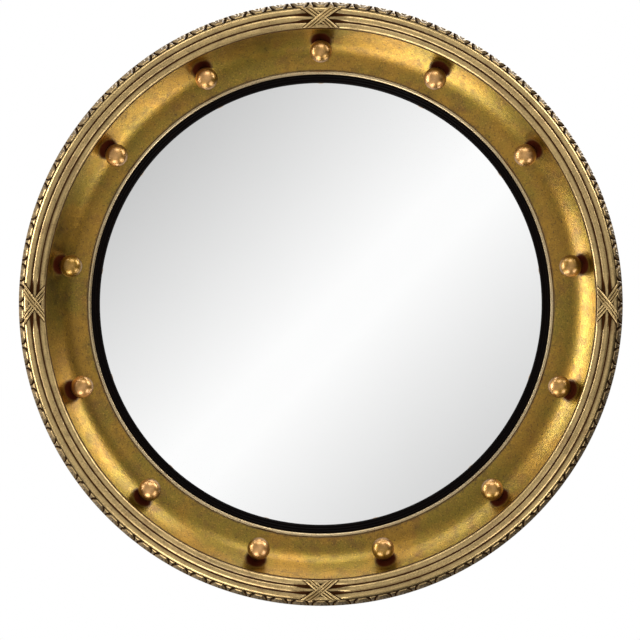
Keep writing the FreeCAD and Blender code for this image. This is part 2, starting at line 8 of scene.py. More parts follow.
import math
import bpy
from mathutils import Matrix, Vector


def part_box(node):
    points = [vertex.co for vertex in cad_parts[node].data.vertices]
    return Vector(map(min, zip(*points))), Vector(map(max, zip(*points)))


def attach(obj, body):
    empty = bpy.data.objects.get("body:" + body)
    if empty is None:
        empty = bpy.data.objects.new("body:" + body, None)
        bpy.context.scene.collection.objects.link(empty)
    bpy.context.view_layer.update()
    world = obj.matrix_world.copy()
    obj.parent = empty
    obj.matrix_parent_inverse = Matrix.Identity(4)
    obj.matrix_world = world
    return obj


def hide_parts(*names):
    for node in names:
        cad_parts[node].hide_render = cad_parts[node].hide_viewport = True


bl_info = {
    "name": "Convex butlers mirror",
    "version": (1, 0, 0),
    "blender": (4, 5, 0),
    "location": "View3D > Sidebar > Mirror",
    "description": "Dresses the packed frame of a round convex mirror with its visible pieces",
    "category": "Add Mesh",
}

import bpy
import numpy as np
from bpy.props import FloatProperty, FloatVectorProperty, IntProperty, PointerProperty
from mathutils import Vector

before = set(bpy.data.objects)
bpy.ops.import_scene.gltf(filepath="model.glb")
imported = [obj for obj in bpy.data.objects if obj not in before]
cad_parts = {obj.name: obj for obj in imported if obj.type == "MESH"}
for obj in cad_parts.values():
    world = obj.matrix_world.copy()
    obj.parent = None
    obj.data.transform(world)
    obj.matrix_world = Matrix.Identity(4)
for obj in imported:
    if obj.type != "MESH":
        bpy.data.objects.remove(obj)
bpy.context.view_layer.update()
MM = 0.001
BODY = "frame"
FULL_TURN = 2 * math.pi


# ---------- sizes and colours ----------

def length(name, description, default):
    return FloatProperty(name=name, description=description, default=default,
                         unit="LENGTH", precision=5)


def angle(name, description, degrees):
    return FloatProperty(name=name, description=description, default=math.radians(degrees),
                         subtype="ANGLE", unit="ROTATION")


def colour(name, description, default):
    return FloatVectorProperty(name=name, description=description, default=default,
                               subtype="COLOR", size=3, min=0.0, max=1.0)


class MirrorSizes(bpy.types.PropertyGroup):
    """Real sizes and counts of the visible pieces."""
    outer_radius: length("Outer radius", "Widest place of the whole mirror",
                         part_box("leaf_edge_band")[1].x)
    sight_radius: length("Sight radius", "Edge of the visible plate", 0.1764)
    plate_radius: length("Plate radius", "Edge of the plate under the slip", 0.184)
    plate_curve: length("Plate curve", "Radius of the sphere of the plate's front", 0.64)
    plate_thickness: length("Plate thickness", "Glass of the plate", 0.003)
    hollow_curve: length("Hollow curve", "Radius of the hollow's section", 0.036)
    ball_radius: length("Ball radius", "Gilt balls in the hollow", 0.009)
    ball_neck: length("Ball neck", "Radius of the neck under each ball", 0.004)
    ball_count: IntProperty(name="Balls", description="Balls in the hollow", default=13, min=3)
    ball_seat: angle("Ball seat", "Angle of the hollow's section where the balls sit", 40)
    ball_crowding: angle("Ball crowding", "How far the side balls are set towards the top", 1.7)
    ribbon_count: IntProperty(name="Ribbons", description="Crossed ribbons on the rim",
                              default=4, min=1)
    ribbon_rise: length("Ribbon face", "Highest place of the ribbons from the rim's centre",
                        0.02045)
    leaf_count: IntProperty(name="Leaves", description="Repeats of the leaf edge",
                            default=90, min=8)


class MirrorFinish(bpy.types.PropertyGroup):
    """Colours that the materials start from."""
    leaf: colour("Gold leaf", "Burnished leaf in the hollow", (0.290, 0.150, 0.010))
    leaf_warm: colour("Warm leaf", "Thin leaf over the red ground of the balls",
                      (0.60, 0.315, 0.105))
    leaf_green: colour("Greenish leaf", "Cooler patches of the leaf", (0.210, 0.137, 0.008))
    leaf_pale: colour("Pale leaf", "Leaf on the reeds and ornament", (0.48, 0.335, 0.138))
    # The bead's pale colour is a painted highlight on the thin bead.
    bead_highlight: colour("Bead", "Cleaner leaf on the thin bead", (0.46, 0.35, 0.19))
    bole: colour("Bole", "Red ground where the leaf is rubbed", (0.135, 0.040, 0.012))
    # Toning is also the default deepest colour of the recess darkening, which is painted shade as
    # well as toning.
    toning: colour("Toning", "Dark size left in the recesses", (0.030, 0.012, 0.003))
    ebony: colour("Ebonised slip", "Black stain under the polish", (0.0016, 0.0006, 0.0004))
    silvering: colour("Silvering", "Reflection of the plate", (0.955, 0.958, 0.957))
    pine: colour("Pine", "Bare wood of the back", (0.42, 0.26, 0.125))


def sizes():
    return bpy.context.scene.mirror_sizes


def finish():
    return bpy.context.scene.mirror_finish


# ---------- node trees ----------

class Net:
    """A node tree that is filled by one call per node."""

    def __init__(self, tree):
        self.tree = tree
        tree.nodes.clear()

    def add(self, kind, inputs=None, **settings):
        node = self.tree.nodes.new(kind)
        node.location = (190 * (len(self.tree.nodes) % 12), -260 * (len(self.tree.nodes) // 12))
        for name, setting in settings.items():
            setattr(node, name, setting)
        for key, value in (inputs or {}).items():
            socket = node.inputs[key] if isinstance(key, int) else next(
                item for item in node.inputs if item.name == key and item.enabled)
            if isinstance(value, bpy.types.NodeSocket):
                self.tree.links.new(value, socket)
            else:
                socket.default_value = value
        return node

    def out(self, kind, inputs=None, output=0, **settings):
        node = self.add(kind, inputs, **settings)
        if isinstance(output, int):
            return node.outputs[output]
        return next(item for item in node.outputs if item.name == output and item.enabled)

    def math(self, operation, a, b=0.0, c=0.0, clamp=False):
        return self.out("ShaderNodeMath", {0: a, 1: b, 2: c}, operation=operation,
                        use_clamp=clamp)

    def between(self, value, low, high, first=0.0, last=1.0, smooth=False):
        """The value's place from low to high, turned into first to last and held there."""
        return self.out("ShaderNodeMapRange", {0: value, 1: low, 2: high, 3: first, 4: last},
                        interpolation_type="SMOOTHSTEP" if smooth else "LINEAR")

    def mix(self, share, a, b):
        """Colour a where share is 0, colour b where it is 1."""
        node = self.add("ShaderNodeMix", data_type="RGBA")
        for socket, value in zip((node.inputs[0], node.inputs[6], node.inputs[7]), (share, a, b)):
            if isinstance(value, bpy.types.NodeSocket):
                self.tree.links.new(value, socket)
            else:
                socket.default_value = value if socket.type == "VALUE" else (*value[:3], 1.0)
        return node.outputs[2]

    def noise(self, place, scale, detail=3.0, roughness=0.5):
        return self.out("ShaderNodeTexNoise", {
            "Vector": place, "Scale": scale, "Detail": detail, "Roughness": roughness})


def geometry_tree(name, sockets):
    """A geometry tree with named inputs; gives the net and its input sockets by name."""
    tree = bpy.data.node_groups.new(name, "GeometryNodeTree")
    tree.interface.new_socket("Geometry", in_out="INPUT", socket_type="NodeSocketGeometry")
    for label, kind in sockets:
        tree.interface.new_socket(label, in_out="INPUT", socket_type=f"NodeSocket{kind}")
    tree.interface.new_socket("Geometry", in_out="OUTPUT", socket_type="NodeSocketGeometry")
    net = Net(tree)
    group = net.add("NodeGroupInput")
    return net, {socket.name: socket for socket in group.outputs if socket.name}


def close_tree(net, geometry, material):
    """Ends a tree: instances are made real and the material is set."""
    real = net.out("GeometryNodeRealizeInstances", {"Geometry": geometry})
    made = net.out("GeometryNodeSetMaterial", {"Geometry": real, "Material": material})
    net.add("NodeGroupOutput", {0: made})
    return net.tree


def turned_tree():
    """Turns a section about the Y axis. At each of the waists it becomes the second section."""
    net, given = geometry_tree("Turned piece", [
        ("Section", "Object"), ("Waist section", "Object"), ("Steps", "Int"),
        ("Waists", "Int"), ("Waist start", "Float"), ("Waist end", "Float"),
        ("Tilt", "Float"), ("Seat", "Vector"), ("Turn", "Float"), ("Material", "Material")])
    section = net.out("GeometryNodeObjectInfo", {"Object": given["Section"]}, "Geometry")
    waist = net.out("GeometryNodeObjectInfo", {"Object": given["Waist section"]}, "Geometry")
    count = net.out("GeometryNodeAttributeDomainSize", {"Geometry": section}, "Point Count",
                    component="MESH")
    grid = net.out("GeometryNodeMeshGrid", {
        "Size X": 1.0, "Size Y": 1.0,
        "Vertices X": net.math("ADD", given["Steps"], 1.0), "Vertices Y": count})
    spot = net.out("GeometryNodeInputPosition")
    axes = net.add("ShaderNodeSeparateXYZ", {0: spot})
    around = net.math("MULTIPLY", net.math("ADD", axes.outputs[0], 0.5), FULL_TURN)
    row = net.math("MULTIPLY", net.math("ADD", axes.outputs[1], 0.5),
                   net.math("SUBTRACT", count, 1.0))
    row = net.math("ROUND", row)
    waists = net.math("MAXIMUM", given["Waists"], 1.0)
    turn_share = net.math("MULTIPLY", around, net.math("DIVIDE", waists, FULL_TURN))
    off = net.math("SUBTRACT", net.math("FRACT", net.math("ADD", turn_share, 0.5)), 0.5)
    off = net.math("MULTIPLY", net.math("ABSOLUTE", off), net.math("DIVIDE", FULL_TURN, waists))
    share = net.between(off, given["Waist start"], given["Waist end"], 1.0, 0.0, smooth=True)
    share = net.math("MULTIPLY", share, net.math("MINIMUM", given["Waists"], 1.0))

    def sampled(source, field, kind):
        return net.out("GeometryNodeSampleIndex", {
            "Geometry": source, "Value": field, "Index": row}, "Value",
            data_type=kind, domain="POINT")

    at = [sampled(source, spot, "FLOAT_VECTOR") for source in (section, waist)]
    at = net.add("ShaderNodeMix", {0: share, 4: at[0], 5: at[1]}, data_type="VECTOR").outputs[1]
    deep = net.out("GeometryNodeInputNamedAttribute", {"Name": "recess"}, "Attribute",
                   data_type="FLOAT")
    deep = [sampled(source, deep, "FLOAT") for source in (section, waist)]
    deep = net.add("ShaderNodeMix", {0: share, 2: deep[0], 3: deep[1]},
                   data_type="FLOAT").outputs[0]
    at = net.add("ShaderNodeSeparateXYZ", {0: at})
    place = net.out("ShaderNodeCombineXYZ", {
        0: net.math("MULTIPLY", at.outputs[0], net.math("SINE", around)),
        1: net.math("MULTIPLY", at.outputs[2], -1.0),
        2: net.math("MULTIPLY", at.outputs[0], net.math("COSINE", around))})
    shape = net.out("GeometryNodeStoreNamedAttribute", {
        "Geometry": grid, "Name": "recess", "Value": deep}, data_type="FLOAT", domain="POINT")
    shape = net.out("GeometryNodeSetPosition", {"Geometry": shape, "Position": place})
    shape = net.out("GeometryNodeMergeByDistance", {"Geometry": shape, "Distance": 2e-6})
    shape = net.out("GeometryNodeTransform", {
        "Geometry": shape, "Translation": given["Seat"],
        "Rotation": net.out("ShaderNodeCombineXYZ", {0: given["Tilt"]})})
    shape = net.out("GeometryNodeTransform", {
        "Geometry": shape, "Rotation": net.out("ShaderNodeCombineXYZ", {1: given["Turn"]})})
    return close_tree(net, shape, given["Material"])


def repeated_tree():
    """Sets a unit round the Y axis, a number of times from a first angle, and joins the seams."""
    net, given = geometry_tree("Repeated round the ring", [
        ("Unit", "Object"), ("Count", "Int"), ("Copies", "Int"), ("First angle", "Float"),
        ("Material", "Material")])
    unit = net.out("GeometryNodeObjectInfo", {"Object": given["Unit"], "As Instance": True},
                   "Geometry")
    points = net.out("GeometryNodePoints", {"Count": given["Copies"]})
    step = net.math("DIVIDE", FULL_TURN, given["Count"])
    turn = net.math("MULTIPLY_ADD", net.out("GeometryNodeInputIndex"), step,
                    given["First angle"])
    placed = net.out("GeometryNodeInstanceOnPoints", {
        "Points": points, "Instance": unit, "Rotation": net.out("ShaderNodeCombineXYZ", {1: turn})})
    real = net.out("GeometryNodeRealizeInstances", {"Geometry": placed})
    joined = net.out("GeometryNodeMergeByDistance", {"Geometry": real, "Distance": 4e-6})
    return close_tree(net, joined, given["Material"])


def tree_named(name, maker):
    return bpy.data.node_groups.get(name) or maker()


def outwards(mesh):
    """Turns a closed mesh right side out."""
    mesh.calc_loop_triangles()
    spots = np.zeros(len(mesh.vertices) * 3, np.float32)
    mesh.vertices.foreach_get("co", spots)
    corners = np.zeros(len(mesh.loop_triangles) * 3, np.int32)
    mesh.loop_triangles.foreach_get("vertices", corners)
    a, b, c = spots.reshape(-1, 3).astype(float)[corners.reshape(-1, 3)].transpose(1, 0, 2)
    if np.einsum("ij,ij->i", a, np.cross(b, c)).sum() < 0:
        mesh.flip_normals()


def grown(name, tree, values, sharp=35):
    """Runs a geometry tree with its inputs set and gives the plain mesh piece it makes."""
    holder = linked(name, bpy.data.meshes.new(name))
    modifier = holder.modifiers.new(tree.name, "NODES")
    modifier.node_group = tree
    for socket in tree.interface.items_tree:
        if socket.item_type == "SOCKET" and socket.in_out == "INPUT" and socket.name in values:
            modifier[socket.identifier] = values[socket.name]
    holder.update_tag()
    graph = bpy.context.evaluated_depsgraph_get()
    mesh = bpy.data.meshes.new_from_object(
        holder.evaluated_get(graph), preserve_all_data_layers=True, depsgraph=graph)
    holder.modifiers.clear()
    spare, holder.data = holder.data, mesh
    bpy.data.meshes.remove(spare)
    mesh.name = name
    if not mesh.polygons:
        raise RuntimeError(f"{name} has no faces")
    outwards(mesh)
    mesh.shade_smooth()
    mesh.set_sharp_from_angle(angle=math.radians(sharp))
    return holder


# ---------- sections ----------

def bulge(start, end, radius, side, steps):
    """Points after start, up to end, on the short arc that swells to the left (+1) or right."""
    p, q = np.array(start, float), np.array(end, float)
    chord = q - p
    left = np.array((-chord[1], chord[0])) / np.hypot(*chord)
    rise = math.sqrt(max(radius ** 2 - (chord @ chord) / 4, 0.0))
    centre = (p + q) / 2 - side * left * rise
    first = math.atan2(*(p - centre)[::-1])
    sweep = math.atan2(*(q - centre)[::-1]) - first
    sweep = (sweep + math.pi) % FULL_TURN - math.pi
    turns = first + sweep * np.arange(1, steps + 1) / steps
    return [tuple(centre + radius * np.array((math.cos(t), math.sin(t)))) for t in turns]


def run(start, end, steps):
    """Points after start, up to end, on a straight line."""
    p, q = np.array(start, float), np.array(end, float)
    return [tuple(p + (q - p) * n / steps) for n in range(1, steps + 1)]


def linked(name, data):
    """A new object in the scene that holds the data."""
    item = bpy.data.objects.new(name, data)
    bpy.context.scene.collection.objects.link(item)
    return item


def loose(name, points, edges, faces, recess=None):
    """A mesh object whose points carry a recess value, the painted shade and toning of the finish,
    for a tree to work on.
    """
    mesh = bpy.data.meshes.new(name)
    mesh.from_pydata(points, edges, faces)
    recess = np.zeros(len(points)) if recess is None else recess
    layer = mesh.attributes.new("recess", "FLOAT", "POINT")
    layer.data.foreach_set("value", np.array(recess, np.float32))
    return linked(name, mesh)


def section(name, corners, recess=None):
    """A section as an object that holds one point per corner, for the turning tree."""
    return loose(name, [(r * MM, 0.0, d * MM) for r, d in corners],
                 [(n, n + 1) for n in range(len(corners) - 1)], [], recess)


def discard(*items):
    """Removes objects that only fed a tree."""
    for item in items:
        mesh = item.data
        bpy.data.objects.remove(item)
        bpy.data.meshes.remove(mesh)


def turned(name, corners, steps, material, recess=None, waist=None, waist_recess=None,
           waists=0, waist_span=(0.0, 1.0), tilt=0.0, seat=(0.0, 0.0, 0.0), turn=0.0, sharp=35):
    """A piece turned from a section, and set in its place."""
    outline = section(f"{name}_section", corners, recess)
    second = section(f"{name}_waist", waist or corners, waist_recess or recess)
    piece = grown(name, tree_named("Turned piece", turned_tree), {
        "Section": outline, "Waist section": second, "Steps": steps,
        "Waists": waists, "Waist start": waist_span[0], "Waist end": waist_span[1],
        "Tilt": tilt, "Seat": seat, "Turn": turn, "Material": material}, sharp)
    discard(outline, second)
    return piece


def repeated(name, unit, count, copies, first, material, sharp=35):
    """A piece of so many copies of a unit, of the count that would fill the ring."""
    piece = grown(name, tree_named("Repeated round the ring", repeated_tree), {
        "Unit": unit, "Count": count, "Copies": copies, "First angle": first,
        "Material": material}, sharp)
    discard(unit)
    return piece


def settle(piece, *nodes, slot):
    """A finished piece stands for its nodes and rides on the frame."""
    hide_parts(*nodes)
    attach(piece, BODY)


def points_of(piece):
    """The piece's points, one row each."""
    spots = np.zeros(len(piece.data.vertices) * 3, np.float32)
    piece.data.vertices.foreach_get("co", spots)
    return spots.reshape(-1, 3).astype(float)


# ---------- materials ----------

def material(name):
    """A new material with its net, its surface shader and the object's own coordinates."""
    made = bpy.data.materials.new(name)
    made.use_nodes = True
    net = Net(made.node_tree)
    surface = net.add("ShaderNodeBsdfPrincipled")
    net.add("ShaderNodeOutputMaterial", {"Surface": surface.outputs[0]})
    place = net.out("ShaderNodeTexCoord", output="Object")
    return made, net, surface, place


def feed(net, surface, **sockets):
    """Sets or links the shader's sockets; an underscore in a name stands for a space."""
    for name, value in sockets.items():
        socket = surface.inputs[name.replace("_", " ")]
        if isinstance(value, bpy.types.NodeSocket):
            net.tree.links.new(value, socket)
        elif socket.type == "RGBA":
            socket.default_value = (*value[:3], 1.0)
        else:
            socket.default_value = value


def bumped(net, height, strength, distance):
    """The shader's normal, raised by a height."""
    return net.out("ShaderNodeBump", {"Height": height, "Strength": strength,
                                      "Distance": distance})


def darker(tone, share):
    """A colour times one share, or times one share per channel."""
    shares = share if isinstance(share, tuple) else (share,) * 3
    return tuple(c * f for c, f in zip(tone, shares))


def recess_of(net):
    """How deep in a recess the surface lies, from the piece's own attribute."""
    return net.out("ShaderNodeAttribute", output="Fac", attribute_name="recess")


def gilding(name, leaf, second, roughness, rub=0.3, coat=0.35, relief=0.25, specks=0.4,
            deepest=None, pale_within=0.0, gloss=0.25, varnish=1.5):
    """Burnished gold leaf: cloudy patches, fine specks, rubbed places and recesses that go down
    to the deepest colour and lose their shine: dark toning and painted shade in the recesses.
    Within a distance from the axis it has the bead's pale colour, a painted highlight. The coat
    is the varnish, with its own gloss and index."""
    look = finish()
    made, net, surface, place = material(name)
    clouds = net.noise(place, 22.0, 4.0, 0.6)
    mottle = net.noise(place, 130.0, 5.0, 0.68)
    grain = net.noise(place, 900.0, 2.0, 0.6)
    deep = recess_of(net)
    tint = net.mix(net.between(clouds, 0.40, 0.60, smooth=True), leaf, second)
    dulled = net.math("MULTIPLY", net.between(mottle, 0.48, 0.70), 0.6)
    tint = net.mix(dulled, tint, darker(leaf, 0.50))
    worn = net.math("MULTIPLY", net.between(net.noise(place, 46.0, 6.0, 0.7), 0.53, 0.70), rub)
    tint = net.mix(worn, tint, look.bole)
    # Pale colour near the inner edge: a painted highlight on the bead.
    if pale_within:
        axes = net.add("ShaderNodeSeparateXYZ", {0: place}).outputs
        from_axis = net.math("SQRT", net.math("ADD", net.math("MULTIPLY", axes[0], axes[0]),
                                              net.math("MULTIPLY", axes[2], axes[2])))
        near = net.between(from_axis, pale_within, pale_within - 0.0006)
        tint = net.mix(near, tint, look.bead_highlight)
    pale = tuple(min(1.0, c * 1.5 + 0.02) for c in leaf)
    tint = net.mix(net.math("MULTIPLY", net.between(grain, 0.58, 0.72), specks), tint, pale)
    dark = net.math("MULTIPLY", net.between(grain, 0.42, 0.30), specks)
    tint = net.mix(dark, tint, look.toning)
    # Recess darkening: painted shade in the recesses, with the dark toning that sits there; it also
    # dulls the shine.
    shade = net.between(net.math("ADD", deep, net.math("MULTIPLY", mottle, 0.24)), 0.42, 0.98,
                        smooth=True)
    tint = net.mix(shade, tint, deepest or tuple(look.toning))
    rough = net.between(mottle, 0.3, 0.7, roughness[0], roughness[1])
    rough = net.math("ADD", rough, net.math("MULTIPLY", shade, 0.25), clamp=True)
    height = net.math("ADD", mottle, net.math("MULTIPLY", grain, 0.3))
    clean = net.math("SUBTRACT", 1.0, shade)
    feed(net, surface, Base_Color=tint, Metallic=net.math("MULTIPLY_ADD", clean, 0.9, 0.1),
         Specular_IOR_Level=net.math("MULTIPLY", clean, 0.5), Roughness=rough,
         Coat_Weight=net.math("MULTIPLY", clean, coat), Coat_IOR=varnish,
         Coat_Roughness=gloss, Normal=bumped(net, height, relief, 0.0004))
    return made


def silvered_glass():
    """The plate's silvering, with a faint haze."""
    look = finish()
    made, net, surface, place = material("silvered_glass")
    haze = net.noise(place, 9.0, 4.0, 0.6)
    tint = net.mix(net.between(haze, 0.35, 0.65, 0.0, 0.5), look.silvering,
                   darker(look.silvering, 0.985))
    feed(net, surface, Base_Color=tint, Metallic=1.0,
         Roughness=net.between(haze, 0.3, 0.7, 0.02, 0.05))
    return made


def ebonised():
    """Black stained wood, rubbed brown on the crests."""
    look = finish()
    made, net, surface, place = material("ebonised_wood")
    deep = recess_of(net)
    streak = net.noise(place, 240.0, 4.0, 0.6)
    rubbed = net.math("MULTIPLY", net.between(streak, 0.5, 0.7), net.between(deep, 0.5, 0.0))
    tint = net.mix(rubbed, look.ebony, (0.0050, 0.0018, 0.0009))
    feed(net, surface, Base_Color=tint, Specular_IOR_Level=0.04,
         Roughness=net.between(streak, 0.3, 0.7, 0.38, 0.55),
         Normal=bumped(net, streak, 0.2, 0.0003))
    return made


def wood(name, tone, segments=0, plank=0.0):
    """Bare wood with growth rings. Segments turn the grain with the staves of a built-up ring;
    planks shift it from board to board."""
    made, net, surface, place = material(name)
    axes = net.add("ShaderNodeSeparateXYZ", {0: place})
    across, _, up = axes.outputs
    if segments:
        spin = net.math("ARCTAN2", across, up)
        stave = net.math("MULTIPLY", spin, segments / FULL_TURN)
        number = net.math("ROUND", stave)
        joint = net.between(net.math("ABSOLUTE", net.math("SUBTRACT", stave, number)),
                            0.4925, 0.4985)
        turn = net.math("MULTIPLY", number, -FULL_TURN / segments)
        place = net.out("ShaderNodeVectorRotate", {"Vector": place, "Axis": (0, 1, 0),
                                                   "Angle": turn}, rotation_type="AXIS_ANGLE")
        shifts = {0: 0.37, 1: 0.11}
        stretch = (1.2, 16.0, 16.0)
    else:
        board = net.math("DIVIDE", across, plank)
        number = net.math("ROUND", board)
        joint = net.between(net.math("ABSOLUTE", net.math("SUBTRACT", board, number)),
                            0.493, 0.499)
        shifts = {2: 0.43, 1: 0.17}
        stretch = (16.0, 16.0, 1.2)
    shift = net.out("ShaderNodeCombineXYZ", {
        axis: net.math("MULTIPLY", number, step) for axis, step in shifts.items()})
    place = net.out("ShaderNodeVectorMath", {0: place, 1: shift}, operation="ADD")
    drawn = net.out("ShaderNodeMapping", {"Vector": place, "Scale": stretch})
    wander = net.noise(drawn, 1.4, 3.0)
    lines = net.out("ShaderNodeTexNoise", {"Vector": drawn, "Scale": 9.0, "Detail": 4.0,
                                           "Distortion": 0.6})
    fine = net.noise(drawn, 60.0, 4.0, 0.7)
    late = darker(tone, (0.62, 0.50, 0.40))
    tint = net.mix(net.between(lines, 0.45, 0.68, smooth=True), tone, late)
    tint = net.mix(net.between(wander, 0.35, 0.75, 0.0, 0.55), tint,
                   darker(tone, (0.75, 0.68, 0.6)))
    tint = net.mix(net.between(fine, 0.5, 0.8, 0.0, 0.4), tint, late)
    grime = net.between(net.noise(place, 13.0, 5.0, 0.65), 0.5, 0.8, 0.0, 0.6)
    tint = net.mix(grime, tint, (0.10, 0.062, 0.033))
    tint = net.mix(joint, tint, (0.035, 0.02, 0.01))
    height = net.math("ADD", fine, net.math("MULTIPLY", joint, -2.0))
    feed(net, surface, Base_Color=tint, Roughness=net.between(fine, 0.3, 0.7, 0.62, 0.82),
         Specular_IOR_Level=0.3, Normal=bumped(net, height, 0.35, 0.0005))
    return made


def metal(name, tone, tarnish, roughness, scale=70.0):
    """Plain metal with tarnished patches and fine scratches."""
    made, net, surface, place = material(name)
    patch = net.noise(place, scale, 5.0, 0.6)
    scratch = net.out("ShaderNodeMapping", {"Vector": place, "Scale": (400.0, 90.0, 1500.0)})
    scratch = net.noise(scratch, 1.0, 3.0, 0.6)
    tint = net.mix(net.between(patch, 0.45, 0.72), tone, tarnish)
    rough = net.between(net.math("ADD", patch, net.math("MULTIPLY", scratch, 0.4)), 0.4, 1.0,
                        roughness[0], roughness[1])
    height = net.math("ADD", scratch, net.math("MULTIPLY", patch, 0.6))
    feed(net, surface, Base_Color=tint, Metallic=1.0, Roughness=rough,
         Normal=bumped(net, height, 0.12, 0.0002))
    return made


def soft(name, tone, second, scale, strength):
    """Felt and cork: a rough surface of small lumps in two tones."""
    made, net, surface, place = material(name)
    cells = net.out("ShaderNodeTexVoronoi", {"Vector": place, "Scale": scale}, "Distance")
    fuzz = net.noise(place, scale * 3.0, 4.0, 0.7)
    tint = net.mix(net.between(net.math("ADD", cells, fuzz), 0.5, 1.1), tone, second)
    feed(net, surface, Base_Color=tint, Roughness=0.92, Specular_IOR_Level=0.2,
         Normal=bumped(net, net.math("ADD", cells, fuzz), strength, 0.0006))
    return made


# ---------- pieces ----------

# Section centres as (distance out, depth), in millimetres like all bare lengths below.
HOLLOW_CENTRE = (184.1, 64.0)
HOLLOW_BEND = 40                # degrees of the section where the arc eases into a straighter run
HOLLOW_EDGE = 218.5             # where the hollow meets the rim
BEAD_EDGE = 182.8               # inner edge of the thin bead
GILT_BACK = 22.0                # depth of the face that the gilt rings are glued to
SLIP_FLANGE = (188.2, 24.8)     # corner of the slip's hidden flange
RIM_CENTRE = (227.2, 38.05)
RIM_GROOVE = 17.2               # rim's centre to the rim's side grooves
RIM_SIDES = (-29.1, 29.1)       # degrees of those grooves
REED = 3.1                      # section of the reeds
LEAF_HALF = 8.35                # half of one repeat of the leaf edge, along the ring


def on_hollow(degrees, reach=None):
    """A point of the hollow's section, at an angle from its lowest point."""
    reach = sizes().hollow_curve / MM if reach is None else reach
    t = math.radians(degrees)
    return (HOLLOW_CENTRE[0] + reach * math.sin(t), HOLLOW_CENTRE[1] - reach * math.cos(t))


def on_rim(degrees, reach):
    """A point of the rim's section, at an angle outwards from its foremost point."""
    t = math.radians(degrees)
    return (RIM_CENTRE[0] + reach * math.sin(t), RIM_CENTRE[1] + reach * math.cos(t))


def ball_angles():
    """Where the balls sit round the ring. Those at the sides are a little nearer the top."""
    count = sizes().ball_count
    steps = [FULL_TURN * n / count for n in range(count)]
    return [step - sizes().ball_crowding * math.sin(step) for step in steps]


def ball_centre():
    """Distance from the axis and depth of the balls' centres, in metres."""
    size = sizes()
    lift = size.ball_radius + 1.2 * MM
    r, d = on_hollow(math.degrees(size.ball_seat), (size.hollow_curve - lift) / MM)
    return r * MM, d * MM


class MIRROR_OT_plate(bpy.types.Operator):
    """Turn the domed plate with its polished edge"""
    bl_idname = "mirror.plate"
    bl_label = "Convex plate"

    def execute(self, context):
        size = sizes()
        curve, edge = size.plate_curve / MM, size.plate_radius / MM
        thick = size.plate_thickness / MM
        sight = size.sight_radius / MM

        def fall(radius, r):
            return radius - math.sqrt(radius ** 2 - r ** 2)

        top = GILT_BACK - 0.3 + fall(curve, sight)
        front = [(r, top - fall(curve, r)) for r in np.linspace(0, edge - 0.5, 72)]
        back = [(r, top - thick - fall(curve - thick, r)) for r in np.linspace(edge, 0, 24)]
        seam = [(edge, top - fall(curve, edge) - 0.5)]
        piece = turned("convex_plate", front + seam + back, 320, silvered_glass(), sharp=30)
        settle(piece, "mirror_plate", slot="mirror")
        return {"FINISHED"}


class MIRROR_OT_slip(bpy.types.Operator):
    """Turn the black slip with its three fine reeds"""
    bl_idname = "mirror.slip"
    bl_label = "Ebonised slip"

    def execute(self, context):
        sight, outer = sizes().sight_radius / MM, BEAD_EDGE - 0.3
        flange, flange_top = SLIP_FLANGE
        pitch = (outer - sight) / 3
        corners = [(sight, GILT_BACK), (flange, GILT_BACK), (flange, flange_top),
                   (outer, flange_top), (outer, 25.9)]
        recess = [1.0] * 5
        for n in (2, 1, 0):
            corners += bulge(corners[-1], (sight + n * pitch, 22.3 + 1.2 * n), 1.5, -1, 10)
            recess += [abs(k / 5 - 1) ** 2 for k in range(1, 11)]
        corners.append(corners[0])
        recess.append(1.0)
        piece = turned("ebonised_slip", corners, 480, ebonised(), recess)
        settle(piece, "slip_ring", slot="ebonised")
        return {"FINISHED"}


